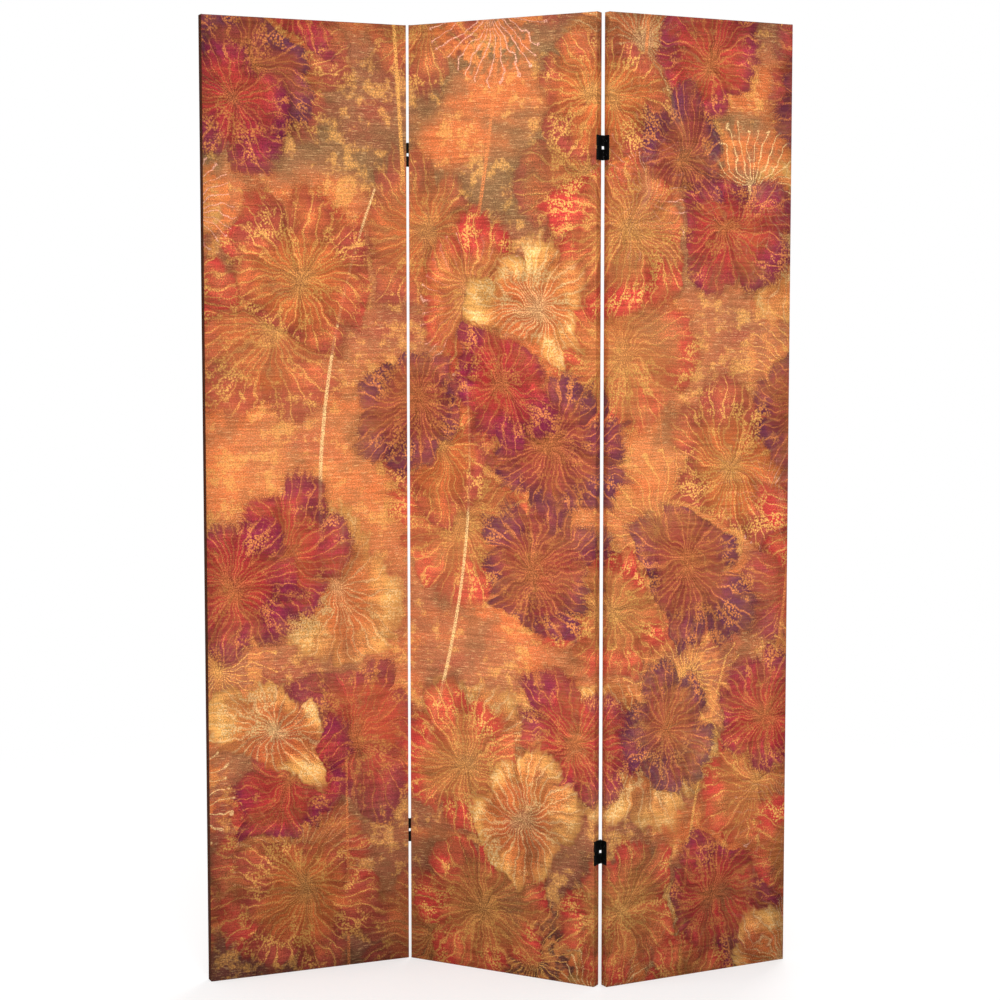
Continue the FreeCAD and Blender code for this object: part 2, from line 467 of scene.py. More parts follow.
class Finish(ABC):
    """A surface, made into a material once."""

    name: str

    def material(self) -> bpy.types.Material:
        """Builds the finish's material, or finds it again.

        Returns:
            The material.
        """
        found = bpy.data.materials.get(self.name)
        if found:
            return found
        made = bpy.data.materials.new(self.name)
        made.use_nodes = True
        tree = made.node_tree
        tree.nodes.clear()
        graph = Graph(tree)
        shader = self.shade(graph)
        output = graph.add("ShaderNodeOutputMaterial")
        tree.links.new(shader.outputs[0], output.inputs["Surface"])
        return made

    @abstractmethod
    def shade(self, graph: Graph) -> bpy.types.Node:
        """Adds the finish's nodes and returns its shader."""

    @staticmethod
    def principled(graph: Graph, colour: Signal, rough: Signal, normal: Signal) -> bpy.types.Node:
        """Adds a Principled shader with a colour, roughness and normal from nodes.

        Args:
            graph: The material's graph.
            colour: Base colour.
            rough: Roughness.
            normal: Bent normal.

        Returns:
            The shader's node.
        """
        node = graph.add("ShaderNodeBsdfPrincipled")
        graph.feed(node.inputs["Base Color"], colour)
        graph.feed(node.inputs["Roughness"], rough)
        graph.feed(node.inputs["Normal"], normal)
        return node


@dataclass(frozen=True)
class PrintFields:
    """Values that the ground and every layer of a print share.

    Attributes:
        u: Place across the picture, in metres.
        v: Place up the picture, in metres.
        along: u with a drift, which bends the figures.
        up: v with a drift.
        grain: Fine grain, from 0 to 1.
        mottle: Blots about 25 mm across, from 0 to 1.
        patch: Blots about 90 mm across, from 0 to 1.
        dots: Where speckles lie, from 0 to 1.
        net: Strength of the fine crackle, 0 where there is none.
        dry: How much ink a line leaves on the grain, from 0 to 1.
        fray: How far the grain frays an edge.
    """

    u: Signal
    v: Signal
    along: Signal
    up: Signal
    grain: Signal
    mottle: Signal
    patch: Signal
    dots: Signal
    net: Signal
    dry: Signal
    fray: Signal

    DRIFT: ClassVar[Noise] = Noise(10.0, 3.0, 0.5, "2D")
    GRAIN: ClassVar[Noise] = Noise(420.0, 2.0, 0.7, "2D")
    MOTTLE: ClassVar[Noise] = Noise(38.0, 3.0, 0.65, "2D")
    PATCH: ClassVar[Noise] = Noise(11.0, 3.0, 0.6, "2D")
    WANDER: ClassVar[float] = 32.0 * MM
    DOT_SCALE: ClassVar[float] = 210.0
    DOT_EDGE: ClassVar[Span] = (0.5, 0.3)
    DOT_PATCHES: ClassVar[Span] = (1.04, 1.2)
    NET_SCALE: ClassVar[float] = 90.0
    NET_LINE: ClassVar[Span] = (0.09, 0.02)
    NET_PATCHES: ClassVar[Span] = (0.47, 0.62, 0.0, 0.55)
    DRY: ClassVar[Span] = (0.36, 0.6)
    FRAY: ClassVar[float] = 0.12

    @classmethod
    def of(cls, graph: Graph, u: Signal, v: Signal, seed: float) -> "PrintFields":
        """Adds the shared noises.

        Args:
            graph: The print's graph.
            u: Place across the picture, in metres.
            v: Place up the picture, in metres.
            seed: Tells one print from another.

        Returns:
            The fields.
        """
        at = graph.vector(u + seed, v, 0.0)
        drift = graph.noise(at, cls.DRIFT)
        drift_u, drift_v, _ = graph.split(Signal(graph, drift.outputs["Color"]))
        grain = graph.cloud(at, cls.GRAIN)
        mottle = graph.cloud(at, cls.MOTTLE)
        patch = graph.cloud(at, cls.PATCH)
        dots = graph.cells(at, cls.DOT_SCALE, "F1").smooth(*cls.DOT_EDGE)
        net = graph.cells(at, cls.NET_SCALE, "DISTANCE_TO_EDGE").smooth(*cls.NET_LINE)
        return cls(
            u=u,
            v=v,
            along=u + drift_u.swing(cls.WANDER),
            up=v + drift_v.swing(cls.WANDER),
            grain=grain,
            mottle=mottle,
            patch=patch,
            dots=dots * (mottle + patch).smooth(*cls.DOT_PATCHES),
            net=net * mottle.smooth(*cls.NET_PATCHES),
            dry=grain.smooth(*cls.DRY),
            fray=grain.swing(cls.FRAY),
        )

    def undrifted(self) -> "PrintFields":
        """The same fields without the drift of the figures' places."""
        return replace(self, along=self.u, up=self.v)


@dataclass(frozen=True)
class Spot:
    """The nearest figure of a layer.

    Attributes:
        x: Place across from its centre, in the layer's own plane.
        y: Place up from its centre, in that plane.
        kind: Random number from 0 to 1 for its colours.
        spin: Random number from 0 to 1 for its turn.
        count: Random number from 0 to 1 for its shape.
    """

    x: Signal
    y: Signal
    kind: Signal
    spin: Signal
    count: Signal


@dataclass(frozen=True)
class FigureLayer(ABC):
    """Like figures scattered over a print, each with its own turn and colours.

    Attributes:
        pitch: Mean distance of the figures.
        shift: Moves the scatter, so that no two layers match.
        share: Part of the places that hold a figure.
        cover: How much a figure hides of what lies under it.
        tones: Colour schemes to choose from.
    """

    pitch: float
    shift: tuple[float, float]
    share: float
    cover: float
    tones: tuple[Tone, ...]

    SCATTER: ClassVar[float] = 0.65
    FILL: ClassVar[float] = 0.58
    STRETCH: ClassVar[float] = 1.0
    SLIMMEST: ClassVar[float] = 0.68
    CENTRE: ClassVar[float] = 0.1 * MM
    FIBRE: ClassVar[Noise] = Noise(1.0, 2.0, 0.68)
    STRANDS: ClassVar[float] = 7.0
    RIPPLES: ClassVar[float] = 2.4
    KIND_STEP: ClassVar[float] = 40.0
    SHUFFLE: ClassVar[float] = 5.3
    SHARP: ClassVar[float] = 0.001

    @abstractmethod
    def draw(self, graph: Graph, ground: Signal, at: PrintFields) -> Signal:
        """Lays the layer's figures over a ground and returns the colour."""

    @property
    def radius(self) -> float:
        """Reach of a figure of middling size."""
        return self.FILL * self.pitch

    def moved(self, across: float, up: float) -> "FigureLayer":
        """The same layer with its scatter moved."""
        return replace(self, shift=(self.shift[0] + across, self.shift[1] + up))

    def place(self, graph: Graph, at: PrintFields) -> Signal:
        """The point in the layer's own plane."""
        return graph.vector(at.along + self.shift[0], at.up / self.STRETCH + self.shift[1], 0.0)

    def cells(self, graph: Graph, place: Signal, feature: str) -> bpy.types.Node:
        """Adds the layer's pattern of cells, one for each figure.

        Args:
            graph: The print's graph.
            place: The point in the layer's own plane.
            feature: Blender's name of what its distance runs to.

        Returns:
            The pattern's node.
        """
        node = graph.add("ShaderNodeTexVoronoi", voronoi_dimensions="2D", feature=feature)
        graph.feed(node.inputs["Vector"], place)
        node.inputs["Scale"].default_value = 1.0 / self.pitch
        node.inputs["Randomness"].default_value = self.SCATTER
        return node

    def spot(self, graph: Graph, at: PrintFields) -> Spot:
        """Finds the nearest figure.

        Args:
            graph: The print's graph.
            at: The print's fields.

        Returns:
            That figure.
        """
        place = self.place(graph, at)
        cells = self.cells(graph, place, "F1")
        off = graph.add("ShaderNodeVectorMath", operation="SUBTRACT")
        graph.feed(off.inputs[0], place)
        graph.feed(off.inputs[1], Signal(graph, cells.outputs["Position"]))
        x, y, _ = graph.split(Signal(graph, off.outputs[0]))
        return Spot(x, y, *graph.split(Signal(graph, cells.outputs["Color"])))

    def cell_edge(self, graph: Graph, at: PrintFields) -> Signal:
        """Distance to the border between two figures' cells, in pitches."""
        cells = self.cells(graph, self.place(graph, at), "DISTANCE_TO_EDGE")
        return Signal(graph, cells.outputs["Distance"])

    def polar(self, graph: Graph, spot: Spot) -> tuple[Signal, Signal, Signal]:
        """Finds the point's place round a figure, which is slanted and slimmer one way.

        Args:
            graph: The print's graph.
            spot: The figure.

        Returns:
            Distance in radii, turn from 0 to 1, and a noise of fibres that run outwards.
        """
        slant = (spot.spin + spot.count) * TURN
        cosine = (slant + TURN / 4).sine()
        sine = slant.sine()
        across = spot.x * cosine + spot.y * sine
        upward = (spot.y * cosine - spot.x * sine) / spot.count.scaled(self.SLIMMEST, 1.0)
        away = (across * across + upward * upward).root() + self.CENTRE
        turn = (graph.math("ARCTAN2", upward, across) / TURN + spot.spin).fraction()
        bundle = self.STRANDS / away
        outwards = away * (self.RIPPLES / self.radius) + spot.kind * self.KIND_STEP
        ray = graph.vector(across * bundle, upward * bundle, outwards)
        return away / self.radius, turn, graph.cloud(ray, self.FIBRE)

    def shown(self, spot: Spot) -> Signal:
        """The layer's cover where the figure is one of its share, else 0."""
        draw = ((spot.kind + spot.spin) * self.SHUFFLE).fraction()
        return draw.smooth(self.share, self.share - self.SHARP, 0.0, self.cover)

    def paint(self, graph: Graph, spot: Spot, role: Role) -> Signal:
        """The figure's colour in one role of its tone."""
        row = [(place / len(self.tones), tone.value[role]) for place, tone in enumerate(self.tones)]
        return graph.ramp(spot.kind, tuple(row), "CONSTANT")


@dataclass(frozen=True)
class BlossomLayer(FigureLayer):
    """Open flowers with two rings of veined petals, as a dry print."""

    NOTCH: ClassVar[float] = 0.3
    PETAL_SIZES: ClassVar[Span] = (0.76, 1.08)
    PETAL_COUNTS: ClassVar[Span] = (5.0, 7.99)
    INNER_RING: ClassVar[float] = 1.7
    INNER_TURN: ClassVar[float] = 0.5
    TEAR: ClassVar[float] = 0.22
    CELL_EDGE: ClassVar[Span] = (1.1, -6.0)
    BLUSH_SHIFT: ClassVar[float] = 0.7
    BLUSH: ClassVar[Span] = (0.15, 0.9)
    INNER_COVER: ClassVar[Span] = (1.02, 0.9, 0.0, 0.45)
    HEART: ClassVar[Span] = (0.2, 0.02, 0.0, 0.5)
    VEINS: ClassVar[float] = 5.0
    VEIN_SWAY: ClassVar[float] = 0.5
    VEIN_WIDTH: ClassVar[Span] = (2.6 * MM, 0.8 * MM)
    VEIN_INK: ClassVar[Span] = (0.3, 0.9)
    FIBRE_LIGHT: ClassVar[Span] = (0.5, 1.45)
    PETAL_LIGHT: ClassVar[Span] = (0.0, 0.8, 0.8, 1.14)
    INNER_SHADE: ClassVar[Span] = (1.4, 1.0, 1.0, 0.68)
    EDGE_SHADE: ClassVar[Span] = (0.8, 0.96, 1.0, 0.75)
    INK: ClassVar[Span] = (1.1, 1.65, 0.45, 1.0)
    CAST_SHADE: ClassVar[Span] = (1.22, 0.95, 0.0, 0.25)
    OUTLINE: ClassVar[Span] = (1.0, 0.92)

    def ring(self, graph: Graph, spot: Spot, reach: Signal, phase: Signal) -> Signal:
        """Measures a distance through one ring of unequal petals.

        Args:
            graph: The print's graph.
            spot: The flower.
            reach: Distance from its centre, in radii.
            phase: Turn round it, counted in petals.

        Returns:
            The distance, 1 at the petals' edge.
        """
        gap = phase.fold().scaled(1.0, -1.0)
        lobe = (1.0 - gap * gap).root()
        petal = graph.chance(phase.floor(), spot.kind).scaled(*self.PETAL_SIZES)
        return reach / (lobe.scaled(1.0 - self.NOTCH, 1.0) * petal)

    def draw(self, graph: Graph, ground: Signal, at: PrintFields) -> Signal:
        """Draws petals, veins, speckles and heart.

        Args:
            graph: The print's graph.
            ground: Colour under the layer.
            at: The print's fields.

        Returns:
            The colour with the layer over it.
        """
        spot = self.spot(graph, at)
        reach, turn, fibre = self.polar(graph, spot)
        petals = spot.count.scaled(*self.PETAL_COUNTS).floor()
        phase = turn * petals
        torn = fibre.swing(self.TEAR) + at.fray
        cut = self.cell_edge(graph, at).scaled(*self.CELL_EDGE)
        edge = self.ring(graph, spot, reach, phase).above(cut) + torn
        inner_edge = self.ring(graph, spot, reach * self.INNER_RING, phase + self.INNER_TURN) + torn

        inner = self.paint(graph, spot, Role.INNER)
        blush = (reach + at.patch.swing(self.BLUSH_SHIFT)).smooth(*self.BLUSH)
        petal = graph.mix(blush, inner, self.paint(graph, spot, Role.OUTER))
        petal = graph.mix(inner_edge.smooth(*self.INNER_COVER), petal, inner)
        petal = graph.mix((reach + torn).smooth(*self.HEART), petal, self.paint(graph, spot, Role.HEART))

        spread = (phase * self.VEINS + fibre * self.VEIN_SWAY).fold()
        sideways = spread * reach / petals * (self.radius * TURN / self.VEINS)
        vein = sideways.smooth(*self.VEIN_WIDTH) * at.dry.scaled(*self.VEIN_INK)
        petal = graph.mix(vein.above(at.net).above(at.dots), petal, self.paint(graph, spot, Role.VEIN))
        light = fibre.scaled(*self.FIBRE_LIGHT) * phase.fraction().smooth(*self.PETAL_LIGHT)
        light = light * inner_edge.smooth(*self.INNER_SHADE) * edge.smooth(*self.EDGE_SHADE)

        shown = self.shown(spot)
        ink = (at.patch + fibre + at.grain).smooth(*self.INK)
        under = graph.dim(ground, 1.0 - edge.smooth(*self.CAST_SHADE) * shown)
        return graph.mix(edge.smooth(*self.OUTLINE) * ink * shown, under, graph.dim(petal, light))


@dataclass(frozen=True)
class SeedHeadLayer(FigureLayer):
    """Round heads of fine spokes with a seed at the end of each, over a wash."""

    FILL: ClassVar[float] = 0.46
    SPOKES: ClassVar[float] = 31.0
    SPOKE_SWAY: ClassVar[float] = 0.3
    SPOKE_WIDTH: ClassVar[Span] = (1.7 * MM, 0.5 * MM)
    SPOKE_END: ClassVar[Span] = (0.98, 0.9)
    SEED_PLACE: ClassVar[float] = 0.94
    SEED_SIZE: ClassVar[Span] = (4.2 * MM, 2.4 * MM)
    INK: ClassVar[Span] = (0.25, 1.0)
    WASH_TEAR: ClassVar[float] = 0.3
    WASH: ClassVar[Span] = (1.05, 0.7)
    WASH_PATCHES: ClassVar[Span] = (0.4, 0.6, 0.0, 0.7)

    def draw(self, graph: Graph, ground: Signal, at: PrintFields) -> Signal:
        """Draws wash, spokes and seeds.

        Args:
            graph: The print's graph.
            ground: Colour under the layer.
            at: The print's fields.

        Returns:
            The colour with the layer over it.
        """
        spot = self.spot(graph, at)
        reach, turn, fibre = self.polar(graph, spot)
        spread = (turn * self.SPOKES + fibre * self.SPOKE_SWAY).fold()
        sideways = spread * reach * (self.radius * TURN / self.SPOKES)
        spoke = sideways.smooth(*self.SPOKE_WIDTH) * reach.smooth(*self.SPOKE_END)
        beyond = (reach - self.SEED_PLACE) * self.radius
        seed = (sideways * sideways + beyond * beyond).root().smooth(*self.SEED_SIZE)
        mark = spoke.above(seed) * at.dry.scaled(*self.INK)
        shown = self.shown(spot)
        wash = (reach + fibre.swing(self.WASH_TEAR)).smooth(*self.WASH)
        wash = wash * at.mottle.smooth(*self.WASH_PATCHES)
        under = graph.mix(wash * shown, ground, self.paint(graph, spot, Role.INNER))
        return graph.mix(mark * shown, under, self.paint(graph, spot, Role.VEIN))


@dataclass(frozen=True)
class StemLayer(FigureLayer):
    """Thin upright stalks, each bent its own way."""

    STRETCH: ClassVar[float] = 3.0
    WIDTH: ClassVar[float] = 4.0 * MM
    TIP: ClassVar[float] = 0.6
    BEND: ClassVar[float] = 0.3
    LINE: ClassVar[Span] = (1.0, 0.5)
    ENDS: ClassVar[Span] = (0.85, 0.75)
    INK: ClassVar[Span] = (0.2, 0.9)

    def draw(self, graph: Graph, ground: Signal, at: PrintFields) -> Signal:
        """Draws bent lines with dry gaps.

        Args:
            graph: The print's graph.
            ground: Colour under the layer.
            at: The print's fields.

        Returns:
            The colour with the layer over it.
        """
        spot = self.spot(graph, at.undrifted())
        climb = spot.y / (self.pitch / 2)
        sway = climb * climb * spot.spin.swing(1.0) + climb * spot.count.swing(1.0)
        side = abs(spot.x - sway * (self.BEND * self.pitch))
        line = (side / climb.scaled(self.WIDTH, self.TIP * self.WIDTH)).smooth(*self.LINE)
        mark = line * abs(climb).smooth(*self.ENDS) * at.dry.scaled(*self.INK)
        return graph.mix(mark * self.shown(spot), ground, self.paint(graph, spot, Role.VEIN))


UNDER_LAYERS: tuple[FigureLayer, ...] = (
    BlossomLayer(
        pitch=0.33, shift=(0.17, 0.31), share=0.9, cover=0.7,
        tones=(Tone.RUST, Tone.FLAME, Tone.GOLD, Tone.WINE),
    ),
    StemLayer(
        pitch=0.30, shift=(0.11, 0.07), share=0.8, cover=1.0,
        tones=(Tone.GOLD, Tone.PLUM, Tone.FLAME),
    ),
    SeedHeadLayer(
        pitch=0.31, shift=(0.45, 0.12), share=0.6, cover=0.9,
        tones=(Tone.GOLD, Tone.CORAL, Tone.FLAME),
    ),
)
FRONT_LAYERS: tuple[FigureLayer, ...] = (
    *UNDER_LAYERS,
    BlossomLayer(
        pitch=0.30, shift=(0.83, 0.55), share=0.75, cover=0.9,
        tones=(Tone.PLUM, Tone.WINE, Tone.RUST, Tone.FLAME),
    ),
    BlossomLayer(
        pitch=0.27, shift=(0.29, 0.91), share=0.55, cover=0.85,
        tones=(Tone.WINE, Tone.GOLD, Tone.PLUM, Tone.FLAME),
    ),
)
BACK_SHIFT = (3.0, 2.0)
BACK_LAYERS: tuple[FigureLayer, ...] = (
    *(layer.moved(*BACK_SHIFT) for layer in UNDER_LAYERS),
    BlossomLayer(
        pitch=0.29, shift=(3.83, 2.55), share=0.75, cover=0.9,
        tones=(Tone.PLUM, Tone.WINE, Tone.GOLD, Tone.FLAME),
    ),
)


@dataclass(frozen=True)
class PrintedCanvas(Finish):
    """Woven canvas with an autumn-toned print over it, dark past the picture's border.

    Attributes:
        name: The material's name.
        layers: Figures of the print, the lowest layer first.
        picture_half_width: Half the width of the picture over all three panels.
        picture_height: The picture's height.
        seed: Tells one print from another.
    """

    name: str
    layers: tuple[FigureLayer, ...]
    picture_half_width: float
    picture_height: float
    seed: float

    GROUND_ROW: ClassVar[ColourRow] = (
        (0.00, Palette.BARK),
        (0.14, Palette.CLAY),
        (0.32, Palette.OCHRE),
        (0.55, Palette.AMBER),
        (0.72, Palette.OCHRE),
        (0.88, Palette.OLIVE),
        (1.00, Palette.CLAY),
    )
    GROUND_CLOUD: ClassVar[Noise] = Noise(3.2, 2.0, 0.55)
    GROUND_SHIFT: ClassVar[float] = 0.3
    WASH_SCALE: ClassVar[Span] = (3.0, 5.2)
    WASH_SEED: ClassVar[float] = 7.0
    WASH: ClassVar[Noise] = Noise(1.0, 3.0, 0.6)
    FLAME_WASH: ClassVar[Span] = (0.48, 0.66, 0.0, 0.7)
    RUST_WASH: ClassVar[Span] = (0.46, 0.3, 0.0, 0.6)
    OLIVE_PATCHES: ClassVar[Span] = (0.47, 0.3, 0.0, 0.42)
    GOLD_PATCHES: ClassVar[Span] = (1.0, 1.25, 0.0, 0.35)
    SCRATCH_SCALE: ClassVar[Span] = (60.0, 420.0)
    SCRATCH: ClassVar[Noise] = Noise(1.0, 2.0, 0.6, "2D")
    SCRATCH_INK: ClassVar[Span] = (0.58, 0.7, 0.0, 0.32)
    DOT_INK: ClassVar[float] = 0.5
    STREAK_SCALE: ClassVar[Span] = (9.0, 230.0)
    STREAK: ClassVar[Noise] = Noise(1.0, 2.0, 0.7, "2D")
    STREAK_LIGHT: ClassVar[Span] = (0.55, 1.4)
    GRAIN_LIGHT: ClassVar[Span] = (0.2, 1.82)
    THREAD_LIGHT: ClassVar[Span] = (1.0, 1.07)
    FOOT_SHIFT: ClassVar[float] = 0.15
    FOOT: ClassVar[Span] = (0.42, 0.12, 1.0, 0.64)
    RIM_SHIFT: ClassVar[float] = 0.03
    RIM: ClassVar[Span] = (-0.05, 0.01, 1.0, 0.72)
    BORDER: ClassVar[Span] = (-1.0 * MM, 1.0 * MM)
    THREAD: ClassVar[float] = 1.1 * MM
    THREAD_RELIEF: ClassVar[Span] = (0.12 * MM, 0.5)
    ROUGHNESS: ClassVar[Span] = (0.56, 0.76)
    SPECULAR: ClassVar[float] = 0.015

    def shade(self, graph: Graph) -> bpy.types.Node:
        """Adds ground, figures, border and weave.

        Args:
            graph: The material's graph.

        Returns:
            The shader's node.
        """
        flat = Signal(graph, graph.add("ShaderNodeUVMap", uv_map=PRINT_MAP).outputs[0])
        u, v, _ = graph.split(flat)
        fields = PrintFields.of(graph, u, v, self.seed)
        colour = self.ground(graph, fields)
        for layer in self.layers:
            colour = layer.draw(graph, colour, fields)
        weave = (u * (TURN / self.THREAD)).sine() * (v * (TURN / self.THREAD)).sine()
        colour = self.finish(graph, fields, colour, weave)
        normal = graph.relief(weave, *self.THREAD_RELIEF)
        shader = self.principled(graph, colour, fields.grain.scaled(*self.ROUGHNESS), normal)
        shader.inputs["Specular IOR Level"].default_value = self.SPECULAR
        return shader

    def ground(self, graph: Graph, at: PrintFields) -> Signal:
        """Paints washes, darkest at the floor and brightest at mid height, with patches and scratches.

        Args:
            graph: The print's graph.
            at: The print's fields.

        Returns:
            The ground's colour.
        """
        cloud = graph.cloud(graph.vector(at.u, at.v, self.seed), self.GROUND_CLOUD)
        level = at.v / self.picture_height + cloud.swing(self.GROUND_SHIFT)
        colour = graph.ramp(level, self.GROUND_ROW)
        across, up = self.WASH_SCALE
        wash = graph.cloud(graph.vector(at.u * across, at.v * up, self.seed + self.WASH_SEED), self.WASH)
        colour = graph.mix(wash.smooth(*self.FLAME_WASH), colour, Palette.FLAME)
        colour = graph.mix(wash.smooth(*self.RUST_WASH), colour, Palette.RUST)
        colour = graph.mix(at.patch.smooth(*self.OLIVE_PATCHES), colour, Palette.OLIVE)
        colour = graph.mix((at.patch + at.mottle).smooth(*self.GOLD_PATCHES), colour, Palette.GOLD)
        across, up = self.SCRATCH_SCALE
        scratch = graph.cloud(graph.vector(at.u * across, at.v * up, 0.0), self.SCRATCH)
        colour = graph.mix(scratch.smooth(*self.SCRATCH_INK), colour, Palette.STRAW)
        return graph.mix(at.dots * self.DOT_INK, colour, Palette.GOLD)

    def finish(self, graph: Graph, at: PrintFields, colour: Signal, weave: Signal) -> Signal:
        """Darkens foot, rim and the edges past the picture, and lays streaks, grain and the weave's painted
        shade over all.

        Args:
            graph: The print's graph.
            at: The print's fields.
            colour: Ground and figures.
            weave: Height of the threads, from -1 to 1.

        Returns:
            The finished colour.
        """
        across, up = self.STREAK_SCALE
        streak = graph.cloud(graph.vector(at.u * across, at.v * up + self.seed, 0.0), self.STREAK)
        light = streak.scaled(*self.STREAK_LIGHT) * at.grain.scaled(*self.GRAIN_LIGHT)
        # Painted shade of the weave: the threads' tops lighter and the hollows between them darker.
        light = light * weave.scaled(*self.THREAD_LIGHT)
        foot = (at.v + at.patch.swing(self.FOOT_SHIFT)).smooth(*self.FOOT)
        beyond = (abs(at.u) - self.picture_half_width).above(0.0 - at.v).above(at.v - self.picture_height)
        rim = (beyond + at.mottle.swing(self.RIM_SHIFT)).smooth(*self.RIM)
        colour = graph.dim(colour, foot * rim)
        colour = graph.mix(beyond.smooth(*self.BORDER), colour, Palette.UMBER)
        return graph.dim(colour, light)


@dataclass(frozen=True)
class LiningCloth(Finish):
    """Opaque charcoal cloth with a fine felted surface."""

    name: str = "charcoal_lining"

    FIBRE: ClassVar[Noise] = Noise(900.0, 4.0, 0.65)
    FIBRE_SHARE: ClassVar[float] = 0.6
    PATCH: ClassVar[Noise] = Noise(18.0, 3.0)
    PATCH_SHARE: ClassVar[float] = 0.3
    ROUGHNESS: ClassVar[Span] = (0.8, 1.0)
    RELIEF: ClassVar[Span] = (0.2 * MM, 0.5)

    def shade(self, graph: Graph) -> bpy.types.Node:
        """Adds matted fibres.

        Args:
            graph: The material's graph.

        Returns:
            The shader's node.
        """
        at = graph.place()
        fibre = graph.cloud(at, self.FIBRE)
        patch = graph.cloud(at, self.PATCH)
        tone = fibre * self.FIBRE_SHARE + patch * self.PATCH_SHARE
        colour = graph.mix(tone, Palette.NIGHT, Palette.CHARCOAL)
        normal = graph.relief(fibre, *self.RELIEF)
        return self.principled(graph, colour, fibre.scaled(*self.ROUGHNESS), normal)


@dataclass(frozen=True)
class Timber(Finish):
    """Planed wood with growth rings along its length.

    Attributes:
        name: The material's name.
        early: Colour of the early wood.
        late: Colour of the late wood and the pores.
        turn: Turn that brings the grain to Z, as Euler angles.
        ring_pitch: Distance of the growth rings.
    """

    name: str
    early: Palette
    late: Palette
    turn: tuple[float, float, float]
    ring_pitch: float = 5.0 * MM

    SWAY_SCALE: ClassVar[Span] = (22.0, 1.4)
    SWAY: ClassVar[Noise] = Noise(1.0, 3.0)
    SWAY_RINGS: ClassVar[float] = 5.0
    RING_SLANT: ClassVar[float] = 0.35
    RING_SHARE: ClassVar[float] = 0.6
    PORE_SCALE: ClassVar[Span] = (1400.0, 40.0)
    PORES: ClassVar[Noise] = Noise(1.0, 3.0, 0.6)
    PORE_SHARE: ClassVar[float] = 0.35
    ROUGHNESS: ClassVar[Span] = (0.5, 0.75)
    RELIEF: ClassVar[Span] = (0.15 * MM, 0.4)

    def shade(self, graph: Graph) -> bpy.types.Node:
        """Adds rings stretched along the piece, with fine pores.

        Args:
            graph: The material's graph.

        Returns:
            The shader's node.
        """
        turned = graph.add("ShaderNodeMapping", vector_type="POINT")
        graph.feed(turned.inputs["Vector"], graph.place())
        turned.inputs["Rotation"].default_value = self.turn
        x, y, z = graph.split(Signal(graph, turned.outputs[0]))
        across, along = self.SWAY_SCALE
        sway = graph.cloud(graph.vector(x * across, y * across, z * along), self.SWAY)
        ring = ((x + y * self.RING_SLANT) / self.ring_pitch + sway * self.SWAY_RINGS).fold() * 2.0
        across, along = self.PORE_SCALE
        pores = graph.cloud(graph.vector(x * across, y * across, z * along), self.PORES)
        tone = ring * ring * self.RING_SHARE + pores * self.PORE_SHARE
        colour = graph.mix(tone, self.early, self.late)
        normal = graph.relief(pores, *self.RELIEF)
        return self.principled(graph, colour, pores.scaled(*self.ROUGHNESS), normal)


@dataclass(frozen=True)
class PaintedSteel(Finish):
    """Steel under a thin paint that has rubbed off a little along its edges.

    Attributes:
        name: The material's name.
        paint: Colour of the paint.
        bare: Colour of the steel under it.
        wear: How far the edges are rubbed, from 0 to 1.
    """

    name: str
    paint: Palette
    bare: Palette
    wear: float

    EDGE_RADIUS: ClassVar[float] = 0.35 * MM
    EDGE: ClassVar[Span] = (0.995, 0.8)
    PEEL: ClassVar[Noise] = Noise(1600.0, 2.0)
    RUB: ClassVar[Noise] = Noise(420.0, 4.0, 0.6)
    RUBBED: ClassVar[Span] = (0.5, 0.62)
    FADE: ClassVar[float] = 0.12
    ROUGHNESS: ClassVar[Span] = (0.42, 0.67)
    RELIEF: ClassVar[Span] = (0.04 * MM, 0.35)
    SPECULAR: ClassVar[float] = 0.04

    def shade(self, graph: Graph) -> bpy.types.Node:
        """Adds paint, orange peel and rubbed edges.

        Args:
            graph: The material's graph.

        Returns:
            The shader's node.
        """
        at = graph.place()
        peel = graph.cloud(at, self.PEEL)
        rub = graph.cloud(at, self.RUB)
        soft = graph.add("ShaderNodeBevel", samples=4)
        soft.inputs["Radius"].default_value = self.EDGE_RADIUS
        flat = graph.add("ShaderNodeNewGeometry")
        turned = graph.add("ShaderNodeVectorMath", operation="DOT_PRODUCT")
        graph.feed(turned.inputs[0], Signal(graph, soft.outputs[0]))
        graph.feed(turned.inputs[1], Signal(graph, flat.outputs["Normal"]))
        edge = Signal(graph, turned.outputs["Value"]).smooth(*self.EDGE)
        worn = edge * rub.smooth(*self.RUBBED) * self.wear
        colour = graph.mix(worn, graph.mix(rub * self.FADE, self.paint, Palette.CHARCOAL), self.bare)
        normal = graph.relief(peel, *self.RELIEF)
        shader = self.principled(graph, colour, rub.scaled(*self.ROUGHNESS), normal)
        shader.inputs["Specular IOR Level"].default_value = self.SPECULAR
        return shader


@dataclass(frozen=True)
class StapleWire(Finish):
    """Bright zinc-plated wire."""

    name: str = "zinc_wire"

    SPOTS: ClassVar[Noise] = Noise(700.0, 4.0, 0.6)
    DULL: ClassVar[Span] = (0.4, 0.65)
    ROUGHNESS: ClassVar[Span] = (0.28, 0.58)
    RELIEF: ClassVar[Span] = (0.03 * MM, 0.4)

    def shade(self, graph: Graph) -> bpy.types.Node:
        """Adds plating with dull spots.

        Args:
            graph: The material's graph.

        Returns:
            The shader's node.
        """
        spot = graph.cloud(graph.place(), self.SPOTS)
        colour = graph.mix(spot.smooth(*self.DULL), Palette.ZINC, Palette.STEEL)
        normal = graph.relief(spot, *self.RELIEF)
        shader = self.principled(graph, colour, spot.scaled(*self.ROUGHNESS), normal)
        shader.inputs["Metallic"].default_value = 1.0
        return shader


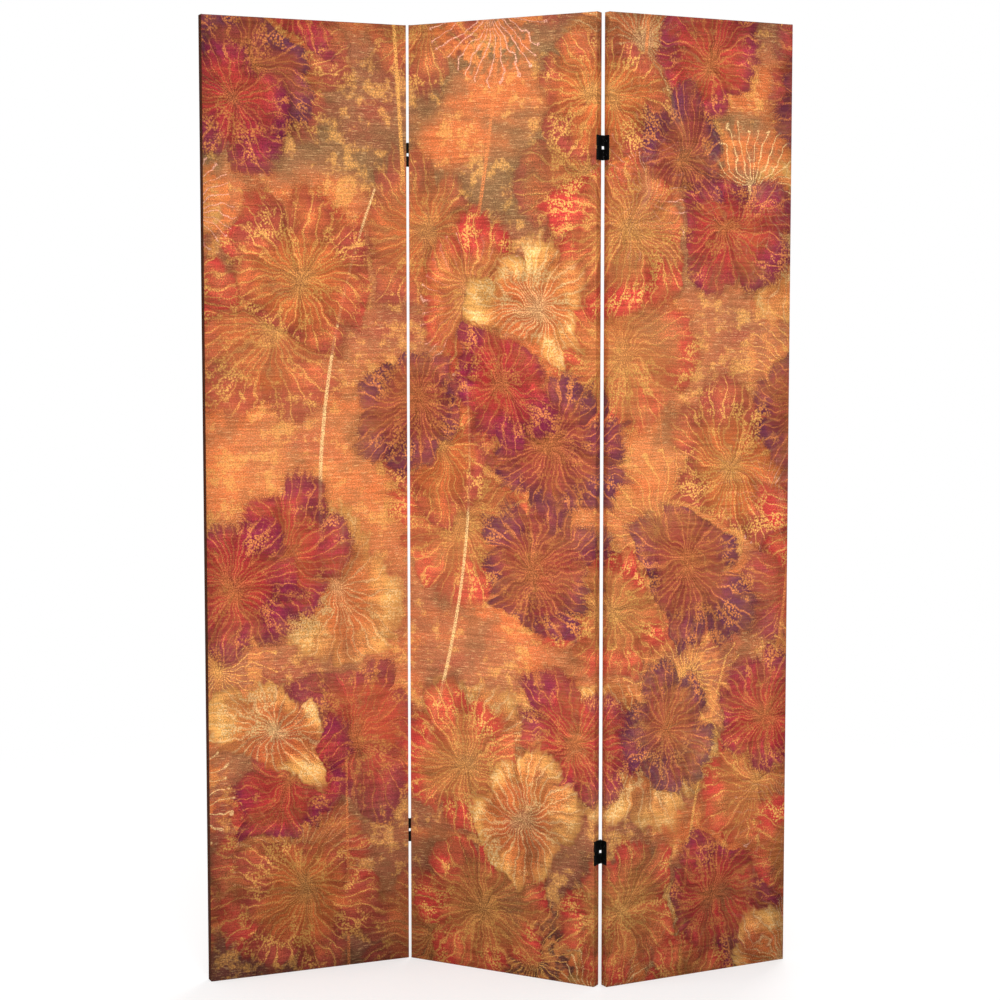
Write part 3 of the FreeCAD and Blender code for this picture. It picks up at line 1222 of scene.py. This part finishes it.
@dataclass(frozen=True)
class Box:
    """A node's lowest and highest corners."""

    low: Vector
    high: Vector

    @classmethod
    def of(cls, node: str) -> "Box":
        """Box of a node of the frame, at rest."""
        return cls(*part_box(node))

    @property
    def size(self) -> Vector:
        """Size on each axis."""
        return self.high - self.low

    def cube(self) -> bmesh.types.BMesh:
        """Fills the box with a new mesh.

        Returns:
            The mesh.
        """
        made = bmesh.new()
        middle = Matrix.Translation((self.low + self.high) / 2)
        bmesh.ops.create_cube(made, size=1.0, matrix=middle @ Matrix.Diagonal((*self.size, 1.0)))
        return made


def cut_loops(mesh: bmesh.types.BMesh, axis: int, places: list[float]) -> None:
    """Cuts edge loops round a whole mesh.

    Args:
        mesh: The mesh to cut.
        axis: 0, 1 or 2, the axis that the loops are square to.
        places: Where on that axis they lie.
    """
    normal = Vector((0.0, 0.0, 0.0))
    normal[axis] = 1.0
    for place in places:
        everything = mesh.verts[:] + mesh.edges[:] + mesh.faces[:]
        bmesh.ops.bisect_plane(mesh, geom=everything, dist=ON_CUT, plane_co=normal * place, plane_no=normal)


def even_places(low: float, high: float, spacing: float) -> list[float]:
    """Places between two ends, at about one spacing and without the ends."""
    count = max(1, round((high - low) / spacing))
    return [low + (high - low) * step / count for step in range(1, count)]


def map_print(mesh: bmesh.types.BMesh, flat: Callable[[Vector, Vector], tuple[float, float]]) -> None:
    """Writes the print's flat coordinates to a mesh.

    Args:
        mesh: The mesh, in its panel's own place.
        flat: Gives u and v of a point on a face with a given normal.
    """
    layer = mesh.loops.layers.uv.new(PRINT_MAP)
    for face in mesh.faces:
        for loop in face.loops:
            loop[layer].uv = flat(loop.vert.co, face.normal)


@dataclass
class CanvasPanel:
    """One panel: printed canvas, lining and back canvas over a wooden frame.

    Attributes:
        side: left, middle or right.
        pitch: The panel's middle in the flat screen, from the middle panel's.
        fold: The panel's turn about the upright, at rest.
        place: Takes a mesh from the middle panel's place to this one's.
        front_finish: Finish of the front canvas.
        back_finish: Finish of the back canvas.
        cloth: Thickness of the canvas.
        edge_radius: Round of the canvas over the frame's edges.
        edge_segments: Faces across that round.
        flap: Width of the canvas that is turned onto the back.
        corner_height: Height of the fold at a top corner.
        hem: Width of the back canvas's hem.
        hem_round: Round of the hem's edge.
        hem_segments: Faces across that round.
        hem_ease: Width over which the back canvas comes down from its hem.
        hem_dip: How far it comes down.
        sag: How far cloth gives at the middle of an opening.
        loop_spacing: Distance of the edge loops that let the cloth bend.
        support: Distance of the loop that keeps a round tight.
        square_on: Least part of a normal along the side that its face looks to.
        dowel_rings: Distance of the growth rings in a dowel.
    """

    side: str
    pitch: float
    fold: float
    place: Matrix
    front_finish: Finish
    back_finish: Finish

    cloth: float = 0.5 * MM
    edge_radius: float = 0.6 * MM
    edge_segments: int = 4
    flap: float = 22.0 * MM
    corner_height: float = 0.4 * MM
    hem: float = 9.0 * MM
    hem_round: float = 0.4 * MM
    hem_segments: int = 2
    hem_ease: float = 5.0 * MM
    hem_dip: float = 0.35 * MM
    sag: float = 0.5 * MM
    loop_spacing: float = 40.0 * MM
    support: float = 1.5 * MM
    square_on: float = 0.99
    dowel_rings: float = 2.0 * MM

    MODEL: ClassVar[str] = "middle_panel"
    STILES: ClassVar[tuple[str, ...]] = ("left_stile", "right_stile")
    RAILS: ClassVar[tuple[str, ...]] = ("bottom_rail", "lower_cross_rail", "upper_cross_rail", "top_rail")

    @property
    def body(self) -> str:
        """Name of the panel's body, which starts its nodes' names too."""
        return f"{self.side}_panel"

    @property
    def bars(self) -> list[str]:
        """Names of the frame's nodes."""
        return [f"{self.body}_{bar}" for bar in self.STILES + self.RAILS]

    def bays(self) -> list[tuple[float, float]]:
        """Bottom and top of each opening between the rails, alike on every panel."""
        rails = [Box.of(f"{self.MODEL}_{rail}") for rail in self.RAILS]
        return [(lower.high.z, upper.low.z) for lower, upper in zip(rails, rails[1:])]

    def slacken(self, verts: list[bmesh.types.BMVert], depth: float) -> None:
        """Moves cloth along Y where it gives between the frame's bars.

        Args:
            verts: The points of the cloth.
            depth: How far it moves at the middle of an opening.
        """
        inner = Box.of(f"{self.MODEL}_right_stile").low.x
        bays = self.bays()
        for vert in verts:
            across = math.cos(0.5 * math.pi * min(abs(vert.co.x) / inner, 1.0))
            for low, high in bays:
                share = min(max((vert.co.z - low) / (high - low), 0.0), 1.0)
                vert.co.y += depth * across * math.sin(math.pi * share)

    def front_canvas(self) -> bpy.types.Object:
        """Makes the printed canvas over the front and the edges, with its flaps on the back.

        Returns:
            The piece.
        """
        box = Box.of(f"{self.MODEL}_front_canvas")
        mesh = box.cube()
        bmesh.ops.bevel(
            mesh, geom=mesh.edges[:], offset=self.edge_radius, offset_type="OFFSET",
            segments=self.edge_segments, profile=0.5, affect="EDGES", material=-1,
        )
        lines = [self.edge_radius + self.support, self.flap]
        for axis in (0, 2):
            low, high = box.low[axis], box.high[axis]
            cut_loops(mesh, axis, [low + line for line in lines] + [high - line for line in lines])
            cut_loops(mesh, axis, even_places(low + self.flap, high - self.flap, self.loop_spacing))
        self.open_back(mesh, box)
        self.slacken([vert for vert in mesh.verts if vert.co.y < box.low.y + self.cloth / 2], self.sag)
        bmesh.ops.solidify(mesh, geom=mesh.faces[:], thickness=self.cloth)
        for end in (-1, 1):
            self.corner_fold(mesh, box, end)
        map_print(mesh, lambda point, normal: self.wrapped(box, point, normal))
        piece = self.place_piece(mesh, "front_canvas", self.front_finish)
        turned = 2 * (box.size.y + self.flap)
        flat = (box.size.x + turned, box.size.z + turned)
        return (piece, self.bars)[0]

    def open_back(self, mesh: bmesh.types.BMesh, box: Box) -> None:
        """Takes away the back between the flaps.

        Args:
            mesh: The canvas, closed so far.
            box: Its box.
        """
        reach = box.high.x - self.flap
        inside = []
        for face in mesh.faces:
            middle = face.calc_center_median()
            level = self.flap < middle.z < box.high.z - self.flap
            if middle.y > box.high.y - self.cloth / 2 and abs(middle.x) < reach and level:
                inside.append(face)
        bmesh.ops.delete(mesh, geom=inside, context="FACES")

    def corner_fold(self, mesh: bmesh.types.BMesh, box: Box, end: int) -> None:
        """Lays the spare cloth of a top corner over the edge, as a flat three-sided fold.

        Args:
            mesh: The canvas.
            box: Its box.
            end: 1 for the right end, -1 for the left one.
        """
        corner = Vector((end * (box.high.x - self.edge_radius), box.low.y + self.edge_radius, box.high.z))
        outward = Vector((end, 1.0, 0.0))
        near = self.top_faces(mesh, box, end)
        ring = dict.fromkeys(part for face in near for part in (*face.edges, *face.verts))
        bmesh.ops.bisect_plane(mesh, geom=near + list(ring), dist=ON_CUT, plane_co=corner, plane_no=outward)
        folded = []
        for face in self.top_faces(mesh, box, end):
            if (face.calc_center_median() - corner).dot(outward) > 0:
                folded.append(face)
        grown = bmesh.ops.extrude_face_region(mesh, geom=folded)
        bmesh.ops.delete(mesh, geom=folded, context="FACES")
        lifted = [part for part in grown["geom"] if isinstance(part, bmesh.types.BMVert)]
        bmesh.ops.translate(mesh, vec=(0.0, 0.0, self.corner_height), verts=lifted)

    def top_faces(self, mesh: bmesh.types.BMesh, box: Box, end: int) -> list[bmesh.types.BMFace]:
        """Picks the flat faces of the top edge near one end.

        Args:
            mesh: The canvas.
            box: Its box.
            end: 1 for the right end, -1 for the left one.

        Returns:
            The faces.
        """
        mesh.normal_update()
        found = []
        for face in mesh.faces:
            middle = face.calc_center_median()
            level = face.normal.z > self.square_on and middle.z > box.high.z - self.cloth / 2
            if level and end * middle.x > box.high.x - 2 * self.flap:
                found.append(face)
        return found

    def wrapped(self, box: Box, point: Vector, normal: Vector) -> tuple[float, float]:
        """Finds where a point of the front canvas lies once the canvas is laid flat.

        Args:
            box: The canvas's box.
            point: The point.
            normal: The normal of its face.

        Returns:
            Its u and v.
        """
        depth = point.y - box.low.y
        if abs(normal.z) > abs(normal.x):
            end = 1.0 if point.z > box.high.z / 2 else -1.0
            return self.pitch + point.x, point.z + end * depth
        side = 1.0 if point.x > 0 else -1.0
        return self.pitch + point.x + side * depth, point.z

    def back_canvas(self) -> bpy.types.Object:
        """Makes the printed cover over the back, its edge turned under into a hem.

        Returns:
            The piece.
        """
        box = Box.of(f"{self.MODEL}_back_canvas")
        mesh = box.cube()
        rim = mesh.edges[:]
        mesh.normal_update()
        under = [face for face in mesh.faces if face.normal.y < -self.square_on]
        bmesh.ops.inset_region(mesh, faces=under, thickness=self.hem, depth=-self.cloth)
        bmesh.ops.bevel(
            mesh, geom=rim, offset=self.hem_round, offset_type="OFFSET",
            segments=self.hem_segments, profile=0.5, affect="EDGES", material=-1,
        )
        lines = [self.support, self.hem, self.hem + self.hem_ease]
        for axis in (0, 2):
            low, high = box.low[axis], box.high[axis]
            cut_loops(mesh, axis, [low + line for line in lines] + [high - line for line in lines])
            cut_loops(mesh, axis, even_places(low + lines[-1], high - lines[-1], self.loop_spacing))
        for vert in mesh.verts:
            inset = min(box.high.x - abs(vert.co.x), vert.co.z - box.low.z, box.high.z - vert.co.z)
            past_hem = min(max((inset - self.hem) / self.hem_ease, 0.0), 1.0)
            vert.co.y -= self.hem_dip * past_hem
        self.slacken(mesh.verts[:], -self.sag)
        map_print(mesh, lambda point, normal: (-self.pitch - point.x, point.z))
        piece = self.place_piece(mesh, "back_canvas", self.back_finish)
        flat = (box.size.x + 2 * self.hem, box.size.z + 2 * self.hem)
        return piece

    def lining(self) -> bpy.types.Object:
        """Makes the opaque cloth on the frame's back, between the flaps.

        Returns:
            The piece.
        """
        box = Box.of(f"{self.MODEL}_lining")
        mesh = box.cube()
        for axis in (0, 2):
            cut_loops(mesh, axis, even_places(box.low[axis], box.high[axis], self.loop_spacing))
        self.slacken(mesh.verts[:], -self.sag)
        map_print(mesh, lambda point, normal: (point.x, point.z))
        piece = self.place_piece(mesh, "lining", LiningCloth())
        return (piece, self.bars)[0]

    def place_piece(self, mesh: bmesh.types.BMesh, part: str, finish: Finish) -> bpy.types.Object:
        """Makes an object of a mesh at the panel's place and ties it to the panel's body.

        Args:
            mesh: The piece at the middle panel's place, freed here.
            part: The piece's name after the panel's, which is its node's name too.
            finish: Its finish.

        Returns:
            The new object.
        """
        bmesh.ops.transform(mesh, matrix=self.place, verts=mesh.verts[:])
        for face in mesh.faces:
            face.smooth = True
        node = f"{self.body}_{part}"
        data = bpy.data.meshes.new(f"{node}_cloth")
        mesh.to_mesh(data)
        mesh.free()
        data.materials.append(finish.material())
        piece = bpy.data.objects.new(f"{node}_cloth", data)
        bpy.context.scene.collection.objects.link(piece)
        piece.modifiers.new("even_shading", "WEIGHTED_NORMAL")
        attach(piece, self.body)
        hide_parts(node)
        return piece

    def timber(self, name: str, along: Matrix) -> Timber:
        """Pine whose grain follows the panel's turn.

        Args:
            name: Ending of the finish's name.
            along: Turn that brings the bar's length to Z at the middle panel's place.

        Returns:
            The finish.
        """
        turn = (along @ Matrix.Rotation(-self.fold, 3, "Z")).to_euler("XYZ")
        return Timber(f"{self.side}_{name}", Palette.PINE, Palette.PINE_LATE, tuple(turn))

    def dress(self, nodes: dict[str, bpy.types.Object]) -> None:
        """Gives the frame, dowels and staples their finishes.

        Args:
            nodes: The frame's objects, by the names of their nodes.
        """
        upright = self.timber("stile_pine", Matrix.Identity(3))
        level = self.timber("rail_pine", Matrix.Rotation(math.pi / 2, 3, "Y"))
        beech = Timber(
            f"{self.side}_dowel_beech", Palette.BEECH, Palette.BEECH_LATE, level.turn, self.dowel_rings,
        )
        for bar in self.STILES:
            paint_node(nodes[f"{self.body}_{bar}"], upright)
        for bar in self.RAILS:
            paint_node(nodes[f"{self.body}_{bar}"], level)
        paint_node(nodes[f"{self.body}_dowels"], beech)
        paint_node(nodes[f"{self.body}_staples"], StapleWire())

    def build(self, nodes: dict[str, bpy.types.Object]) -> None:
        """Makes the cloth pieces and finishes the rest.

        Args:
            nodes: The frame's objects, by the names of their nodes.
        """
        for piece in (self.front_canvas(), self.lining(), self.back_canvas()):
            log.info("%s: %d faces on %s", piece.name, len(piece.data.polygons), self.body)
        self.dress(nodes)


def paint_node(node: bpy.types.Object, finish: Finish) -> None:
    """Gives every slot of a node of the frame one finish.

    Args:
        node: The node's object.
        finish: The finish.
    """
    if not node.material_slots:
        node.data.materials.append(finish.material())
    for slot in node.material_slots:
        slot.material = finish.material()
    log.info("%s: %s", node.name, finish.name)


@dataclass(frozen=True)
class SeamHinges:
    """The two double-action hinges of one seam.

    Attributes:
        seam: left or right.
    """

    seam: str

    LEVELS: ClassVar[tuple[str, ...]] = ("upper", "lower")
    LEAVES: ClassVar[tuple[str, ...]] = ("outer_leaf", "inner_leaf", "centre_leaf")
    SCREWS: ClassVar[tuple[str, ...]] = ("outer_screws", "inner_screws")

    def dress(self, nodes: dict[str, bpy.types.Object]) -> None:
        """Gives leaves, pins and screws their paint.

        Args:
            nodes: The frame's objects, by the names of their nodes.
        """
        leaf = PaintedSteel("hinge_black", Palette.NIGHT, Palette.STEEL, wear=0.5)
        pin = PaintedSteel("pin_black", Palette.NIGHT, Palette.STEEL, wear=0.8)
        screw = PaintedSteel("screw_black", Palette.NIGHT, Palette.ZINC, wear=0.7)
        for level in self.LEVELS:
            stem = f"{self.seam}_{level}_hinge"
            for part in self.LEAVES:
                paint_node(nodes[f"{stem}_{part}"], leaf)
            for part in self.SCREWS:
                paint_node(nodes[f"{stem}_{part}"], screw)
            paint_node(nodes[f"{stem}_pins"], pin)


@dataclass(frozen=True)
class FloorFinish(Finish):
    """Pale floor that is white to the eye and still takes the screen's shadow.

    Attributes:
        name: The material's name.
        shadow: Share of the lit surface near the screen, from 0 to 1.
    """

    name: str = "pale_floor"
    shadow: float = 0.5

    SHADOW_END: ClassVar[Span] = (1.0, 2.6)

    def shade(self, graph: Graph) -> bpy.types.Node:
        """Mixes white light, for what sees the floor, with a lit white surface.

        Args:
            graph: The material's graph.

        Returns:
            The mixed shader's node.
        """
        paint = graph.add("ShaderNodeBsdfDiffuse")
        paint.inputs["Color"].default_value = Palette.WHITE.linear
        glow = graph.add("ShaderNodeEmission")
        x, y, _ = graph.split(graph.place())
        away = (x * x + y * y).root().smooth(*self.SHADOW_END)
        seen = seen_directly(graph) * (away * self.shadow + (1.0 - self.shadow))
        mixed = graph.add("ShaderNodeMixShader")
        graph.feed(mixed.inputs[0], seen)
        graph.tree.links.new(paint.outputs[0], mixed.inputs[1])
        graph.tree.links.new(glow.outputs[0], mixed.inputs[2])
        return mixed


def seen_directly(graph: Graph) -> Signal:
    """Tells the rays that show the background to the eye, in a mirror or through glass.

    Args:
        graph: The graph of a material or of the world.

    Returns:
        1 for such a ray, else 0.
    """
    path = graph.add("ShaderNodeLightPath")
    rays = [Signal(graph, path.outputs[f"Is {kind} Ray"]) for kind in ("Camera", "Glossy", "Transmission")]
    return rays[0].above(rays[1]).above(rays[2])


@dataclass(frozen=True)
class Softbox:
    """A square soft light aimed at a point.

    Attributes:
        name: The lamp's name.
        place: Where it hangs.
        power: Its power, in watts.
        aim: Point that it is turned to.
        side: Length of its side.
    """

    name: str
    place: tuple[float, float, float]
    power: float
    aim: tuple[float, float, float] = (0.0, 0.0, 0.9)
    side: float = 3.0

    def build(self) -> None:
        """Adds the light."""
        data = bpy.data.lights.new(self.name, "AREA")
        data.shape = "SQUARE"
        data.size = self.side
        data.energy = self.power
        light = bpy.data.objects.new(self.name, data)
        light.location = self.place
        towards = Vector(self.aim) - Vector(self.place)
        light.rotation_euler = towards.to_track_quat("-Z", "Y").to_euler()
        bpy.context.scene.collection.objects.link(light)


@dataclass(frozen=True)
class Studio:
    """Floor, even light and the camera at the photograph's place.

    Attributes:
        floor_side: Length of the floor's side.
        ambient: Strength of the light from all round.
        softboxes: The lamps.
        camera_place: Where the camera stands.
        camera_turn: The camera's turn to the left of +Y, in degrees.
        camera_pitch: Its tilt upwards, in degrees.
        lens: Its focal length, in millimetres.
        sensor: Width of its sensor, in millimetres.
    """

    floor_side: float = 24.0
    ambient: float = 0.62
    softboxes: tuple[Softbox, ...] = (
        Softbox("key_light", place=(3.2, -4.6, 3.4), power=210.0),
        Softbox("fill_light", place=(-3.6, -4.2, 2.4), power=90.0),
        Softbox("back_light", place=(-1.0, 5.2, 3.2), power=170.0),
    )
    camera_place: tuple[float, float, float] = (2.0547, -3.6782, 1.2542)
    camera_turn: float = 29.267
    camera_pitch: float = -4.724
    lens: float = 80.73
    sensor: float = 36.0

    def build(self) -> None:
        """Makes the whole studio."""
        self.floor()
        self.world()
        for softbox in self.softboxes:
            softbox.build()
        self.camera()

    def floor(self) -> None:
        """A large pale plane under the screen."""
        mesh = bmesh.new()
        bmesh.ops.create_grid(mesh, x_segments=2, y_segments=2, size=self.floor_side / 2)
        data = bpy.data.meshes.new("studio_floor")
        mesh.to_mesh(data)
        mesh.free()
        data.materials.append(FloorFinish().material())
        floor = bpy.data.objects.new("studio_floor", data)
        bpy.context.scene.collection.objects.link(floor)

    def world(self) -> None:
        """Even light all round, white to the eye."""
        world = bpy.data.worlds.new("studio_world")
        bpy.context.scene.world = world
        world.use_nodes = True
        world.node_tree.nodes.clear()
        graph = Graph(world.node_tree)
        strength = self.ambient + seen_directly(graph) * (1.0 - self.ambient)
        light = graph.add("ShaderNodeBackground")
        light.inputs["Color"].default_value = Palette.WHITE.linear
        graph.feed(light.inputs["Strength"], strength)
        output = graph.add("ShaderNodeOutputWorld")
        world.node_tree.links.new(light.outputs[0], output.inputs[0])

    def camera(self) -> None:
        """The photograph's viewpoint, in its square frame."""
        data = bpy.data.cameras.new("photo_camera")
        data.sensor_fit = "HORIZONTAL"
        data.sensor_width = self.sensor
        data.lens = self.lens
        camera = bpy.data.objects.new("photo_camera", data)
        camera.location = self.camera_place
        pitch = math.pi / 2 + math.radians(self.camera_pitch)
        camera.rotation_euler = (pitch, 0.0, math.radians(self.camera_turn))
        bpy.context.scene.collection.objects.link(camera)
        bpy.context.scene.camera = camera


@dataclass(frozen=True)
class RoomDivider:
    """The whole screen: three panels in a zigzag, joined at two seams.

    Attributes:
        joints: The frame's joints, by name.
        nodes: The frame's objects, by the names of their nodes.
    """

    joints: dict[str, dict]
    nodes: dict[str, bpy.types.Object]

    FOLDS: ClassVar[dict[str, Union[str, None]]] = {
        "left": "left_front_fold",
        "middle": None,
        "right": "right_back_fold",
    }
    FRONT_SEED: ClassVar[float] = 0.0
    BACK_SEED: ClassVar[float] = 31.0

    def panel(self, side: str) -> CanvasPanel:
        """One panel, placed by the hinge that it stands folded about.

        Args:
            side: left, middle or right.

        Returns:
            The panel, not yet built.
        """
        pitch, fold, place = 0.0, 0.0, Matrix.Identity(4)
        if self.FOLDS[side]:
            joint = self.joints[self.FOLDS[side]]
            axis = Vector(joint["pos_m"])
            pitch = 2 * axis.x
            fold = -math.radians(joint["range_deg"][0]) * joint["axis"][2]
            turn = Matrix.Rotation(fold, 4, "Z")
            place = Matrix.Translation(axis) @ turn @ Matrix.Translation(Vector((pitch, 0, 0)) - axis)
        front = self.print_of("front_print", FRONT_LAYERS, self.FRONT_SEED)
        back = self.print_of("back_print", BACK_LAYERS, self.BACK_SEED)
        return CanvasPanel(side, pitch, fold, place, front, back)

    def print_of(self, name: str, layers: tuple[FigureLayer, ...], seed: float) -> PrintedCanvas:
        """Describes a print as wide and high as the three panels side by side.

        Args:
            name: The finish's name.
            layers: Its figures, the lowest layer first.
            seed: Tells it from the other print.

        Returns:
            The finish.
        """
        box = Box.of(f"{CanvasPanel.MODEL}_front_canvas")
        pitch = 2 * abs(self.joints[self.FOLDS["right"]]["pos_m"][0])
        return PrintedCanvas(name, layers, pitch + box.high.x, box.high.z, seed)

    def build(self) -> None:
        """Builds every panel and finishes the hinges."""
        for side in self.FOLDS:
            self.panel(side).build(self.nodes)
        for seam in ("left", "right"):
            SeamHinges(seam).dress(self.nodes)


def main() -> None:
    """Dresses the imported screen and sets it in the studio."""
    logging.basicConfig(level=logging.INFO, format="%(name)s: %(message)s")
    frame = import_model()
    joints = {joint["name"]: joint for joint in frame["joints"]}
    RoomDivider(joints, frame["nodes"]).build()
    Studio().build()
    bpy.context.scene.view_settings.view_transform = "Standard"


if __name__ == "__main__":
    main()
